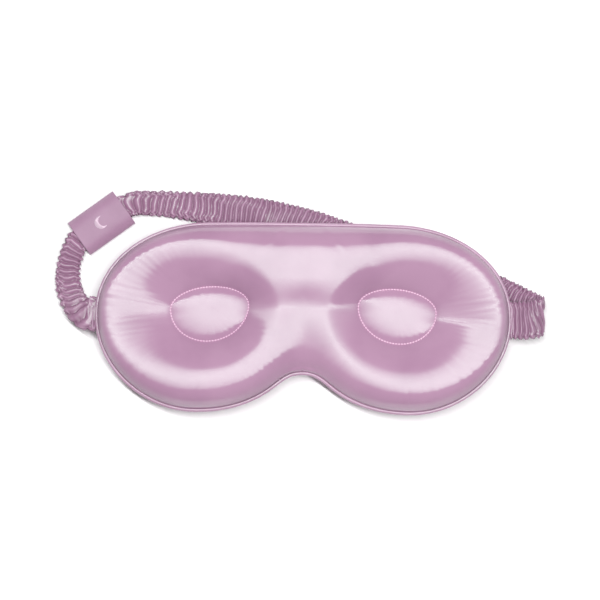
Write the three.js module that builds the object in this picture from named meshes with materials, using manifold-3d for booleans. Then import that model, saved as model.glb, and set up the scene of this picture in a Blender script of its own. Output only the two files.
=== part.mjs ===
// A contoured sleep eye mask lying face side down on a flat surface, with its ruched elastic strap
// folded behind it. Millimetres. +Z is out of the mask's front, +X along its width and +Y to its brow.
import * as THREE from 'three';
import { mergeVertices } from 'three/addons/utils/BufferGeometryUtils.js';
import Module from 'manifold-3d';

const wasm = await Module();
wasm.setup();

// Mask outline: half width, brow height, and the nose notch between the two cheeks.
const HALF_WIDTH = 107.5;
const BROW_Y = 48.8;
const CHEEK = { x: 55, y: -49.8 };
const NOTCH_Y = -30;

// Heights above the surface the mask lies on.
const SEAM_Z = 11;
const FRONT_RISE = 12;
const BACK_DROP = 11;
const BACK_SQUASH = 0.9;
const FRONT = { rim: 0.9, crest: FRONT_RISE, oval: 4.6, pillow: 1.7 };
const BACK = { rim: -0.9, crest: -BACK_DROP - BACK_SQUASH, oval: -1.9, pillow: 0.7 };

// Each eye has a padded ring round a quilted oval.
const OVAL = { x: 48.2, y: 4.2, halfWidth: 20, upper: 10.3, lower: 17.6, tilt: 0.07 };
const CREST = { x: 54, y: 1, halfWidth: 42, halfHeight: 35, barY: 30, barHalfWidth: 32, round: 0.3 };

// How full the padding looks in section: the powers of its outer slope and of the quilted pillow.
const FULLNESS = { outerRun: 2.2, outerRise: 0.62, pillow: 3.2 };

// The nose bridge: a hollow between the eyes, and a fall from there to the notch.
const BRIDGE = { hollow: 3.2, hollowWidth: 13, hollowTop: 24, hollowRun: 15, settle: 9 };
const NOSE = { fall: 3.6, width: 7, spread: 0.42, top: -1, run: 22 };

// Furrow that the strap presses into the back pads.
const FURROW = { clearance: 1, margin: 2.5, slope: 0.6 };

// Cloth and wadding.
const SILK = 0.6;
const LINER = 0.6;
const GAP = 0.3;
const PAD_FILL = 0.5;

// Piping round the edge: a cloth cover on a thin cord.
const PIPING_RADIUS = 1.1;
const PIPING_BORE = 0.75;
const CORD_RADIUS = 0.45;
const PANEL_INSET = 2 * PIPING_RADIUS + GAP;

// The mask folds about the nose bridge, so each layer stops short of the fold line.
const FOLD_UP = THREE.MathUtils.degToRad(50);
const FOLD_BACK = THREE.MathUtils.degToRad(25);
const FRONT_CUT = FRONT_RISE * Math.tan(FOLD_UP / 2) + GAP;
const BACK_CUT = BACK_DROP * Math.tan(FOLD_BACK / 2) + GAP;
const LINER_CUT = 0.6;
const PIPING_CUT = 1;

// Strap: a ruched silk tube on a flat elastic band.
const STRAP_WIDTH = 20;
const STRAP_THICK = 4;
const CASING_WALL = 0.7;
const ELASTIC_THICK = 0.8;
const ELASTIC_SHARE = 0.55;
const STRAP_FLOOR_Z = 2.1;
const SLEEVE_Z = 3.3;
const SEAM_END = HALF_WIDTH + 1.5;
const BAND_ROUNDNESS = 0.55;
const TACK = { length: 0.6, width: 9, height: 1.4, y: -3.2, lift: 0.9 };

// The strap's loop lifts about a line on the left; its ends stop short of that line.
const LOOP_AXIS = { x: -117.2, y: 10.1, heading: THREE.MathUtils.degToRad(43.7) };
const LOOP_SETBACK = 2.2;
const STRAP_STEPS = 124;

// Past the right end of the mask the strap lies square to its fold.
const SQUARE_FROM = 96;
const SQUARE_TO = 112;

// Label: a flat woven sleeve that slides on the strap.
const LABEL = { x: -105.4, y: 47.8, heading: THREE.MathUtils.degToRad(36.5) };
const LABEL_LENGTH = 28.6;
const LABEL_WIDTH = 20.4;
const LABEL_THICK = 6.4;
const LABEL_WALL = 0.7;
const LABEL_CORNER = 2.6;
const MOON = { radius: 3.4, bite: 2.7, shift: 1.7, thick: 0.2 };

// The whole object is centred on its own footprint.
const FOOTPRINT_SHIFT = { x: 1.5, y: -7.6 };

const COLOURS = {
  silk: 0xcba3c1,
  lining: 0xd6b7ce,
  piping: 0xd9b4cf,
  wadding: 0xf1ecea,
  liner: 0x1d1a20,
  cord: 0xe8e2de,
  thread: 0xf3cfe6,
  elastic: 0xe9dfe6,
  label: 0xbd93b4,
  print: 0xf0d8ea,
};

function material(colour, roughness) {
  return new THREE.MeshStandardMaterial({ color: colour, roughness, metalness: 0 });
}

function named(name, geometry, colour, roughness = 0.6) {
  const mesh = new THREE.Mesh(geometry, material(colour, roughness));
  mesh.name = name;
  return mesh;
}

// ---- Outline -------------------------------------------------------------------------------------

// Right half of the edge, from the middle of the brow round to the middle of the nose notch.
function halfEdge() {
  const edge = new THREE.Path();
  edge.moveTo(0, BROW_Y);
  edge.bezierCurveTo(20, BROW_Y, 30, BROW_Y, 50, BROW_Y - 0.5);
  edge.bezierCurveTo(80, BROW_Y - 1.5, HALF_WIDTH, 29, HALF_WIDTH, 0);
  edge.bezierCurveTo(HALF_WIDTH, -27, 83, CHEEK.y, CHEEK.x, CHEEK.y);
  edge.bezierCurveTo(35, CHEEK.y, 22, -43, 14, -36.5);
  edge.bezierCurveTo(9, -32.5, 6, NOTCH_Y, 0, NOTCH_Y);
  return edge.getPoints(8);
}

const EDGE = halfEdge();

// The same edge moved inwards by a distance.
function insetEdge(distance) {
  return EDGE.map((point, i) => {
    const before = EDGE[i - 1] ?? new THREE.Vector2(-EDGE[1].x, EDGE[1].y);
    const after = EDGE[i + 1] ?? new THREE.Vector2(-EDGE[i - 1].x, EDGE[i - 1].y);
    const along = after.clone().sub(before).normalize();
    return new THREE.Vector2(point.x + along.y * distance, point.y - along.x * distance);
  });
}

// A polyline as segments, for measuring distances to it.
function segments(points) {
  const raised = points.map((point) => new THREE.Vector3(point.x, point.y, 0));
  return raised.slice(1).map((end, i) => new THREE.Line3(raised[i], end));
}

// Distance from a point to a polyline. The mask is the same left and right, so x is taken as positive.
function distanceTo(lines, x, y) {
  const point = new THREE.Vector3(Math.abs(x), y, 0);
  const nearest = new THREE.Vector3();
  return Math.min(...lines.map((line) => line.closestPointToPoint(point, true, nearest).distanceTo(point)));
}

// One half's boundary as a closed loop: the inset edge, then straight back up beside the fold line.
function halfLoop(side, inset, cut) {
  const edge = insetEdge(inset).filter((point) => point.x > cut + 1);
  const brow = new THREE.Vector2(cut, BROW_Y - inset);
  const notch = new THREE.Vector2(cut, NOTCH_Y + inset);
  const steps = 8;
  const back = Array.from({ length: steps }, (_, i) => notch.clone().lerp(brow, i / steps));
  const loop = [brow, ...edge, ...back].map((point) => new THREE.Vector2(side * point.x, point.y));
  return side > 0 ? loop.reverse() : loop;
}

// ---- Relief --------------------------------------------------------------------------------------

function ovalPoint(side, angle, scale) {
  const x = OVAL.halfWidth * Math.cos(angle) * scale;
  const reach = Math.sin(angle) > 0 ? OVAL.upper : OVAL.lower;
  const y = reach * Math.sin(angle) * scale - OVAL.tilt * x;
  return new THREE.Vector2(side * (OVAL.x + x), OVAL.y + y);
}

// How far out a point is from the middle of an eye: 1 on the quilted oval.
function ovalReach(x, y) {
  const across = Math.abs(x) - OVAL.x;
  const up = y - OVAL.y + OVAL.tilt * across;
  return Math.hypot(across / OVAL.halfWidth, up / (up > 0 ? OVAL.upper : OVAL.lower));
}

function crestReach(x, y) {
  return Math.hypot((Math.abs(x) - CREST.x) / CREST.halfWidth, (y - CREST.y) / CREST.halfHeight);
}

function loopOf(pointAt, count) {
  return segments(Array.from({ length: count + 1 }, (_, i) => pointAt((2 * Math.PI * i) / count)));
}

const crestPoint = (side) => (angle) => new THREE.Vector2(
  side * (CREST.x + CREST.halfWidth * Math.cos(angle)),
  CREST.y + CREST.halfHeight * Math.sin(angle),
);
const brow = (side) => new THREE.Vector2(side * CREST.barHalfWidth, CREST.barY);
const CREST_LINES = [loopOf(crestPoint(1), 40), loopOf(crestPoint(-1), 40), segments([brow(-1), brow(1)])];
const OVAL_LINE = loopOf((angle) => ovalPoint(1, angle, 1), 40);
const EDGE_LINE = segments(EDGE);

// Distance to the ring crests and the bar that joins them over the nose, rounded where they meet.
function crestDistance(x, y) {
  const nearness = CREST_LINES.reduce((sum, lines) => sum + (distanceTo(lines, x, y) + 0.01) ** -4, 0);
  return nearness ** -0.25;
}

// Height of a padded face over the seam plane, from its rim up to the ring crest and down to the oval.
function relief(x, y, { rim, crest, oval, pillow }) {
  const reach = ovalReach(x, y);
  if (reach < 1) return oval + pillow * (1 - reach ** FULLNESS.pillow);
  const toCrest = crestDistance(x, y);
  if (crestReach(x, y) < 1) {
    const fall = toCrest / (toCrest + distanceTo(OVAL_LINE, x, y));
    const rounded = Math.hypot(fall, CREST.round) - CREST.round;
    return crest + (oval - crest) * rounded / (Math.hypot(1, CREST.round) - CREST.round);
  }
  const toEdge = Math.max(0, distanceTo(EDGE_LINE, x, y) - PANEL_INSET);
  const out = Math.min(1, toCrest / (toCrest + toEdge));
  return rim + (crest - rim) * (1 - out ** FULLNESS.outerRun) ** FULLNESS.outerRise;
}

// How far the nose bridge dips below the padded relief.
function bridgeDip(x, y) {
  const { smoothstep } = THREE.MathUtils;
  const between = Math.exp(-((x / BRIDGE.hollowWidth) ** 2));
  const hollow = BRIDGE.hollow * between * smoothstep(BRIDGE.hollowTop - y, 0, BRIDGE.hollowRun);
  const width = NOSE.width + NOSE.spread * Math.max(0, -y);
  const fall = NOSE.fall * Math.exp(-((x / width) ** 2)) * smoothstep(NOSE.top - y, 0, NOSE.run);
  const settled = smoothstep(distanceTo(EDGE_LINE, x, y) - PANEL_INSET, 0, BRIDGE.settle);
  return (hollow + fall) * settled;
}

function frontZ(x, y) {
  return SEAM_Z + relief(x, y, FRONT) - bridgeDip(x, y);
}

// The back pads are pressed in where the strap runs under them.
function strapChannelZ(x, y) {
  const run = new THREE.Vector2(x - STRAP_RUN.start.x, y - STRAP_RUN.start.y);
  const off = Math.abs(run.cross(STRAP_RUN.direction));
  const beside = Math.max(0, off - STRAP_WIDTH / 2 - FURROW.margin);
  return STRAP_THICK + FURROW.clearance - FURROW.slope * beside;
}

function backZ(x, y) {
  return Math.max(SEAM_Z + relief(x, y, BACK), strapChannelZ(x, y), 0);
}

// ---- Solids --------------------------------------------------------------------------------------

function indexed(positions, triangles) {
  const geometry = new THREE.BufferGeometry();
  geometry.setAttribute('position', new THREE.Float32BufferAttribute(positions, 3));
  geometry.setIndex(triangles);
  geometry.computeVertexNormals();
  return geometry;
}

// A layer between two heights over nested loops, listed from the inner to the outer one.
// A filled layer closes over its middle; an open one keeps the hole inside its first loop.
function layer(loops, topZ, bottomZ, filled) {
  const count = loops[0].length;
  const positions = [];
  const triangles = [];
  const rows = [];
  const addRow = (loop, height) => {
    rows.push(positions.length / 3);
    for (const point of loop) positions.push(point.x, point.y, height(point.x, point.y));
  };
  for (const loop of loops) addRow(loop, topZ);
  for (const loop of loops.toReversed()) addRow(loop, bottomZ);
  const quads = (inner, outer) => {
    for (let i = 0; i < count; i += 1) {
      const next = (i + 1) % count;
      triangles.push(inner + i, outer + i, outer + next, inner + i, outer + next, inner + next);
    }
  };
  for (let row = 1; row < rows.length; row += 1) quads(rows[row - 1], rows[row]);
  if (!filled) {
    quads(rows.at(-1), rows[0]);
    return indexed(positions, triangles);
  }
  const middle = loops[0].reduce((sum, point) => sum.add(point), new THREE.Vector2()).divideScalar(count);
  const top = positions.length / 3;
  positions.push(middle.x, middle.y, topZ(middle.x, middle.y), middle.x, middle.y, bottomZ(middle.x, middle.y));
  for (let i = 0; i < count; i += 1) {
    const next = (i + 1) % count;
    triangles.push(top, i, next, top + 1, rows.at(-1) + next, rows.at(-1) + i);
  }
  return indexed(positions, triangles);
}

// Loops that spread from one eye's oval out to a boundary.
function spreadingLoops(side, boundary, ovalScale, steps) {
  const inner = boundary.map((point) => {
    const angle = Math.atan2(point.y - OVAL.y, side * point.x - OVAL.x);
    return ovalPoint(side, angle, ovalScale);
  });
  return Array.from({ length: steps + 1 }, (_, step) =>
    inner.map((point, i) => point.clone().lerp(boundary[i], step / steps)));
}

function shrunkLoop(side, loop, scale) {
  const middle = new THREE.Vector2(side * OVAL.x, OVAL.y);
  return loop.map((point) => middle.clone().lerp(point, scale));
}

function frontPanel(side) {
  const loops = spreadingLoops(side, halfLoop(side, PANEL_INSET, FRONT_CUT), 1, 6);
  loops.unshift(shrunkLoop(side, loops[0], 0.6));
  return layer(loops, frontZ, (x, y) => frontZ(x, y) - SILK, true);
}

function backPanel(side) {
  const loops = spreadingLoops(side, halfLoop(side, PANEL_INSET, BACK_CUT), 1, 7);
  loops.unshift(shrunkLoop(side, loops[0], 0.6));
  return layer(loops, (x, y) => backZ(x, y) + SILK, backZ, true);
}

const LINER_TOP = SEAM_Z + LINER / 2;
const LINER_BOTTOM = SEAM_Z - LINER / 2;

function liner(side) {
  const boundary = halfLoop(side, PANEL_INSET, LINER_CUT);
  const loops = [shrunkLoop(side, boundary, 0.5), boundary];
  return layer(loops, () => LINER_TOP, () => LINER_BOTTOM, true);
}

// The wadding lies loose in the silk, so it fills only part of the height.
function paddingZ(faceZ) {
  return (x, y) => SEAM_Z + PAD_FILL * (faceZ(x, y) - SEAM_Z);
}

function frontRingPad(side) {
  const loops = spreadingLoops(side, halfLoop(side, PANEL_INSET + 5, FRONT_CUT + 2), 1.2, 5);
  return layer(loops, paddingZ(frontZ), () => LINER_TOP + GAP, false);
}

function backRingPad(side) {
  const loops = spreadingLoops(side, halfLoop(side, PANEL_INSET + 6, BACK_CUT + 2), 1.35, 6);
  return layer(loops, () => LINER_BOTTOM - GAP, paddingZ(backZ), false);
}

function eyePad(side) {
  const outer = Array.from({ length: 32 }, (_, i) => ovalPoint(side, (side * i * Math.PI) / 16, 0.94));
  const loops = [shrunkLoop(side, outer, 0.6), outer];
  return layer(loops, paddingZ(frontZ), () => LINER_TOP + GAP, true);
}

// ---- Tubes ---------------------------------------------------------------------------------------

function tube(curve, steps, radius, bore, sides) {
  const section = new THREE.Shape().absarc(0, 0, radius, 0, 2 * Math.PI);
  if (bore > 0) section.holes.push(new THREE.Path().absarc(0, 0, bore, 0, 2 * Math.PI, true));
  return new THREE.ExtrudeGeometry(section, { steps, extrudePath: curve, curveSegments: sides });
}

function pipingCurve(side) {
  const edge = insetEdge(PIPING_RADIUS).filter((point) => point.x > PIPING_CUT + 1);
  const points = [
    new THREE.Vector3(side * PIPING_CUT, BROW_Y - PIPING_RADIUS, SEAM_Z),
    ...edge.map((point) => new THREE.Vector3(side * point.x, point.y, SEAM_Z)),
    new THREE.Vector3(side * PIPING_CUT, NOTCH_Y + PIPING_RADIUS, SEAM_Z),
  ];
  return new THREE.CatmullRomCurve3(points);
}

const piping = (side) => tube(pipingCurve(side), 48, PIPING_RADIUS, PIPING_BORE, 4);
const pipingCord = (side) => tube(pipingCurve(side), 48, CORD_RADIUS, 0, 3);

// A raised row of thread on the quilted oval.
function eyeStitch(side) {
  const radius = 0.4;
  const points = Array.from({ length: 24 }, (_, i) => {
    const point = ovalPoint(side, (i * Math.PI) / 12, 1);
    return new THREE.Vector3(point.x, point.y, frontZ(point.x, point.y) + radius + GAP);
  });
  return tube(new THREE.CatmullRomCurve3(points, true), 40, radius, 0, 3);
}

// ---- Strap ---------------------------------------------------------------------------------------

// Centre line: out of the left seam, round the loop, through the label, under the mask, and over a
// fold into the right seam. Each stop is x, y, z and the strap's gathered width there.
const STRAP_STOPS = [
  [-SEAM_END, 0, SEAM_Z, 19],
  [-112.6, 0.5, 10, 17],
  [-117.6, 5, 6.6, 13.5],
  [-121.2, 12.8, 3.4, 13],
  [-122.2, 22, 2.7, 13],
  [-120.6, 31, 3, 12.5],
  [-116.2, 39.8, SLEEVE_Z, 12.5],
  [-105.4, 47.8, SLEEVE_Z, 12.5],
  [-94.6, 55.8, SLEEVE_Z, 12.5],
  [-87, 58.3, SLEEVE_Z, 13],
  [-78, 58.4, 2.4, 13.5],
  [-62, 57.4, STRAP_FLOOR_Z, 15],
  [-35, 54.2, STRAP_FLOOR_Z, 19],
  [-5, 48.6, STRAP_FLOOR_Z, 20],
  [40, 34.8, STRAP_FLOOR_Z, 20],
  [80, 21.6, STRAP_FLOOR_Z, 20],
  [100, 13.6, STRAP_FLOOR_Z, 20],
  [112, 8, 2.4, 20],
  [118.6, 5, 3, 20],
  [122.8, 2.8, 6.6, 20],
  [118.6, 0.6, 10.6, 20],
  [SEAM_END, 0, SEAM_Z, 20],
];

// The straight part of the strap under the mask.
const STRAP_RUN = {
  start: new THREE.Vector2(-5, 48.6),
  direction: new THREE.Vector2(109, -36.2).normalize(),
};

function strapFrames(count) {
  const stops = STRAP_STOPS.map(([x, y, z]) => new THREE.Vector3(x, y, z));
  const centre = new THREE.CatmullRomCurve3(stops, false, 'centripetal');
  const widths = new THREE.CatmullRomCurve3(STRAP_STOPS.map(([, , , width], i) => new THREE.Vector3(i, width, 0)));
  const up = new THREE.Vector3(0, 0, 1);
  const square = new THREE.Vector3(0, -1, 0);
  let across = new THREE.Vector3(0, 1, 0);
  return Array.from({ length: count + 1 }, (_, i) => {
    const t = i / count;
    const tangent = centre.getTangent(t);
    const level = up.clone().cross(tangent);
    if (level.length() > 0.7) across = level.dot(across) < 0 ? level.negate() : level;
    across.lerp(square, THREE.MathUtils.smoothstep(centre.getPoint(t).x, SQUARE_FROM, SQUARE_TO));
    across = across.clone().addScaledVector(tangent, -across.dot(tangent)).normalize();
    return { at: centre.getPoint(t), across, thick: tangent.clone().cross(across), width: widths.getPoint(t).y };
  });
}

// A closed ribbon swept through the frames. Its section is a flattened, rounded band.
function ribbon(frames, share, inset, thickness, sides) {
  const positions = [];
  const triangles = [];
  for (const { at, across, thick, width } of frames) {
    for (let i = 0; i < sides; i += 1) {
      const angle = (2 * Math.PI * (i + 0.5)) / sides;
      const sideways = Math.sign(Math.cos(angle)) * Math.abs(Math.cos(angle)) ** BAND_ROUNDNESS;
      const upwards = Math.sign(Math.sin(angle)) * Math.abs(Math.sin(angle)) ** BAND_ROUNDNESS;
      const point = at.clone()
        .addScaledVector(across, sideways * (width * share / 2 - inset))
        .addScaledVector(thick, upwards * thickness / 2);
      positions.push(...point);
    }
  }
  for (let row = 1; row < frames.length; row += 1) {
    for (let i = 0; i < sides; i += 1) {
      const next = (i + 1) % sides;
      const [a, b] = [(row - 1) * sides, row * sides];
      triangles.push(a + i, a + next, b + next, a + i, b + next, b + i);
    }
  }
  const last = (frames.length - 1) * sides;
  for (let i = 1; i < sides - 1; i += 1) {
    triangles.push(0, i + 1, i, last, last + i, last + i + 1);
  }
  return indexed(positions, triangles);
}

function toManifold(geometry) {
  const bare = geometry.clone();
  bare.deleteAttribute('normal');
  bare.deleteAttribute('uv');
  const merged = mergeVertices(bare, 1e-5);
  const mesh = new wasm.Mesh({
    numProp: 3,
    vertProperties: new Float32Array(merged.attributes.position.array),
    triVerts: new Uint32Array(merged.index.array),
  });
  return new wasm.Manifold(mesh);
}

function fromManifold(solid) {
  const mesh = solid.getMesh();
  return indexed(Array.from(mesh.vertProperties), Array.from(mesh.triVerts));
}

// A block that covers everything on one side of an upright plane.
function halfSpace(x, y, heading, forward) {
  const reach = 400;
  const block = new THREE.BoxGeometry(reach, reach, reach);
  block.translate(0, forward * reach / 2, 0);
  block.rotateZ(heading);
  block.translate(x, y, 0);
  return toManifold(block);
}

function besideLoopAxis(offset, forward) {
  const x = LOOP_AXIS.x - Math.sin(LOOP_AXIS.heading) * offset;
  const y = LOOP_AXIS.y + Math.cos(LOOP_AXIS.heading) * offset;
  return halfSpace(x, y, LOOP_AXIS.heading, forward);
}

// The strap's pieces that move separately: the left end, the loop, and the runs under each half.
function strapPieces(whole) {
  const solid = toManifold(whole);
  const beforeLoop = solid.intersect(besideLoopAxis(-LOOP_SETBACK, -1));
  const westOf = (x) => halfSpace(x, 0, Math.PI / 2, 1);
  const eastOf = (x) => halfSpace(x, 0, Math.PI / 2, -1);
  return {
    left_end: fromManifold(beforeLoop.intersect(westOf(-100))),
    loop: fromManifold(solid.intersect(besideLoopAxis(LOOP_SETBACK, 1)).intersect(westOf(0))),
    left_run: fromManifold(beforeLoop.intersect(eastOf(-90)).intersect(westOf(-BACK_CUT))),
    right_run: fromManifold(solid.intersect(eastOf(BACK_CUT))),
  };
}

function casing() {
  const outer = toManifold(ribbon(strapFrames(STRAP_STEPS), 1, 0, STRAP_THICK, 8));
  const bore = toManifold(ribbon(strapFrames(STRAP_STEPS), 1, CASING_WALL, STRAP_THICK - 2 * CASING_WALL, 8));
  return fromManifold(outer.subtract(bore));
}

const elastic = () => ribbon(strapFrames(STRAP_STEPS), ELASTIC_SHARE, 0, ELASTIC_THICK, 4);

// A bar of stitching between the piping and a strap end, which holds the end in the seam.
function barTack(side) {
  const bar = new THREE.BoxGeometry(TACK.length, TACK.width, TACK.height);
  bar.translate(side * (HALF_WIDTH + SEAM_END) / 2, TACK.y, SEAM_Z + TACK.lift);
  return bar;
}

// ---- Label ---------------------------------------------------------------------------------------

function placedOnLabel(geometry, z) {
  geometry.rotateZ(LABEL.heading);
  geometry.translate(LABEL.x, LABEL.y, z);
  return geometry;
}

function roundedBand(width, height, radius) {
  const [x, y] = [width / 2, height / 2];
  const band = new THREE.Shape();
  band.absarc(x - radius, y - radius, radius, 0, Math.PI / 2);
  band.absarc(-x + radius, y - radius, radius, Math.PI / 2, Math.PI);
  band.absarc(-x + radius, -y + radius, radius, Math.PI, 1.5 * Math.PI);
  band.absarc(x - radius, -y + radius, radius, 1.5 * Math.PI, 2 * Math.PI);
  return band;
}

function labelSleeve() {
  const section = roundedBand(LABEL_WIDTH, LABEL_THICK, LABEL_CORNER);
  const [boreWidth, boreHeight] = [LABEL_WIDTH - 2 * LABEL_WALL, LABEL_THICK - 2 * LABEL_WALL];
  section.holes.push(roundedBand(boreWidth, boreHeight, LABEL_CORNER - LABEL_WALL));
  const sleeve = new THREE.ExtrudeGeometry(section, { depth: LABEL_LENGTH, bevelEnabled: false, curveSegments: 5 });
  sleeve.translate(0, 0, -LABEL_LENGTH / 2);
  sleeve.rotateX(Math.PI / 2);
  sleeve.rotateZ(Math.PI / 2);
  return placedOnLabel(sleeve, LABEL_THICK / 2);
}

// A crescent moon printed on the label: a disc with a smaller, shifted disc taken out of it.
function labelMoon() {
  const disc = new THREE.CylinderGeometry(MOON.radius, MOON.radius, MOON.thick, 24);
  const bite = new THREE.CylinderGeometry(MOON.bite, MOON.bite, 5 * MOON.thick, 24);
  bite.translate(MOON.shift, 0, 0);
  const moon = fromManifold(toManifold(disc).subtract(toManifold(bite)));
  moon.rotateX(Math.PI / 2);
  return placedOnLabel(moon, LABEL_THICK + MOON.thick);
}

// ---- The mask ------------------------------------------------------------------------------------

function maskHalf(side, word) {
  const half = new THREE.Group();
  half.add(
    named(`front_panel_${word}`, frontPanel(side), COLOURS.silk, 0.35),
    named(`back_panel_${word}`, backPanel(side), COLOURS.lining, 0.4),
    named(`blackout_liner_${word}`, liner(side), COLOURS.liner, 0.9),
    named(`front_ring_pad_${word}`, frontRingPad(side), COLOURS.wadding, 0.95),
    named(`back_ring_pad_${word}`, backRingPad(side), COLOURS.wadding, 0.95),
    named(`eye_pad_${word}`, eyePad(side), COLOURS.wadding, 0.95),
    named(`eye_stitch_${word}`, eyeStitch(side), COLOURS.thread, 0.5),
    named(`piping_cover_${word}`, piping(side), COLOURS.piping, 0.4),
    named(`piping_cord_${word}`, pipingCord(side), COLOURS.cord, 0.9),
    named(`strap_tack_${word}`, barTack(side), COLOURS.thread, 0.6),
  );
  return half;
}

function strap() {
  const group = new THREE.Group();
  const covers = strapPieces(casing());
  const bands = strapPieces(elastic());
  for (const [word, geometry] of Object.entries(covers)) {
    group.add(named(`strap_casing_${word}`, geometry, COLOURS.silk, 0.4));
  }
  for (const [word, geometry] of Object.entries(bands)) {
    group.add(named(`elastic_band_${word}`, geometry, COLOURS.elastic, 0.8));
  }
  return group;
}

function label() {
  const group = new THREE.Group();
  group.add(
    named('label_sleeve', labelSleeve(), COLOURS.label, 0.45),
    named('label_moon', labelMoon(), COLOURS.print, 0.5),
  );
  return group;
}

const sleepMask = new THREE.Group();
sleepMask.name = 'sleep_eye_mask';
sleepMask.add(maskHalf(-1, 'left'), maskHalf(1, 'right'), strap(), label());
sleepMask.position.set(FOOTPRINT_SHIFT.x, FOOTPRINT_SHIFT.y, 0);

export default sleepMask;
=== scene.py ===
"""A padded satin sleep eye mask laid flat, front up, with its gathered strap folded behind it."""

import math

import bmesh
import bpy
import numpy as np
from mathutils import Matrix, Vector


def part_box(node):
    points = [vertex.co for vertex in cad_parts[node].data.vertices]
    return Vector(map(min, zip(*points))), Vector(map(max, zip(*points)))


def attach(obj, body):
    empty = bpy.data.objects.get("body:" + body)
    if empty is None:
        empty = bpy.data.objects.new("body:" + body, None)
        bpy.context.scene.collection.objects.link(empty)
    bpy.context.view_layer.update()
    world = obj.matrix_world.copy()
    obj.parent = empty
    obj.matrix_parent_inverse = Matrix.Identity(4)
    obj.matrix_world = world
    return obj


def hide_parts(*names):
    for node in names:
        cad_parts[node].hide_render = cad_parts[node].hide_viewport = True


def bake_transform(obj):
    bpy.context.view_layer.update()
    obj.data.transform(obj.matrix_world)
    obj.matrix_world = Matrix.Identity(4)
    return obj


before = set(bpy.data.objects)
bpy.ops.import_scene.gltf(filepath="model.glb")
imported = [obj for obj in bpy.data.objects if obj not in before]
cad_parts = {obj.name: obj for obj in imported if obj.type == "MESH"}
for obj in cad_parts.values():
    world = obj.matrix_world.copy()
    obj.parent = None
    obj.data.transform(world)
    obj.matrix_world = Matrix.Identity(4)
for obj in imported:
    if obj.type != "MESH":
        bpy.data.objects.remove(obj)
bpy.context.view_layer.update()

MM = 0.001
TINY = 1e-9
RNG_SEED = 7

# Each set of random waves has a seed of its own.
WAVES = dict(by_oval=3, by_edge=4, slack=5, ripple=6, by_strap=8, piping=11, drift=21, fine_drift=22,
             fold_strength=23, frill=24, crumple=25)

# ---- Driving dimensions, in millimetres ---------------------------------------------------------

HALF_WIDTH = 107.5
BROW_Y = 48.8
CHEEK_Y = -49.8
NOTCH_Y = -30.0
SEAM_Z = 11.0
CLOTH = 0.45

PIPING_RADIUS = 1.1
PIPING = dict(step=0.55, sides=16, slack=0.07, bunch=0.05, bunch_length=5.0, twist=0.018,
              twist_pitch=1.5)
PANEL_INSET = 1.75
PANEL_STEP = 1.15
PANEL_LOOPS = dict(pillow=10, ring=46, even=0.45)

# Heights of the two padded faces over the seam.
FRONT = dict(rim=0.7, crest=12.0, oval=4.6, pillow=1.35)
BACK = dict(rim=-0.7, crest=-11.9, oval=-1.9, pillow=-0.7)
OUTER_RUN = 3.0
OUTER_RISE = 0.62
INNER_RUN = dict(beside=1.5, above=2.1)
STITCH_PINCH = 0.045
STITCH_PINCH_REACH = 1.1
PILLOW_FULLNESS = 3.2

# Cloth simulation: how firmly the silk is held away from its seams, and how far it may move.
CLOTH_HOLD = 0.3
CLOTH_GATHER = -0.04
CLOTH_PRESSURE = 1500.0
CLOTH_MASS = 0.01
CLOTH_FRAMES = 16
SEWN_REACH = dict(edge=1.2, oval=0.9)
GATHER_REACH = dict(edge=7.0, oval=3.5, oval_share=0.6)
CLOTH_MOVE = 0.2

OVAL = dict(x=48.2, y=4.2, half_width=20.0, upper=10.3, lower=17.6, tilt=0.07)
CREST = dict(x=56.0, y=0.4, half_width=44.0, half_height=35.6, bar_y=30.0, bar_half_width=32.0)
BRIDGE = dict(hollow=1.9, width=19.0, top=20.0, run=16.0, settle=3.0)
NOSE = dict(fall=0.8, width=7.0, spread=0.42, top=-1.0, run=22.0)
CREST_CORNER = 4.0
CREASE = dict(depth=1.3, width=6.0, round=2.2, below=2.2, middle=30.0, reach=14.0)

# Fine gathers in the silk: their wave length and height, and how far they reach from their seam.
OVAL_PUCKERS = dict(radius=26.0, wave=6.0, reach=3.2, height=0.06)
EDGE_PUCKERS = dict(radius=80.0, wave=7.0, reach=5.0, height=0.26)
STRAP_PUCKERS = dict(wave=2.6, side=9.0, reach=9.0, half_width=13.0, height=0.22, fan=0.15)
SLACK = dict(wave=42.0, height=0.1, small_wave=17.0, small_height=0.03, calm_edge=6.0)
SEAM_START = 1.5
BACK_PUCKERS = 0.8

# The back pads are pressed in over the strap: clear of its sides and top, then easing off.
CHANNEL = dict(side=0.8, top=0.35, slope=0.42, curve=0.06, lowest=0.05, sharpness=1.4)

STITCH_PITCH = 1.5
STITCH_WIDTH = 0.85
STITCH_RISE = 0.32
STITCH = dict(rings=7, sides=8, half_length=0.53, lift=0.26, dive=0.2)

STRAP_WIDTH = 20.0
STRAP_THICK = 4.0
SQUARE_FROM = 96.0
SQUARE_TO = 112.0
STEEPEST_LEVEL = 0.7
TURN_SMOOTHING = 60

LABEL_LENGTH = 28.6
LABEL_WIDTH = 20.4
LABEL_THICK = 6.2
LABEL_WALL = 0.6
LABEL_HEADING = math.radians(36.5)

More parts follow.
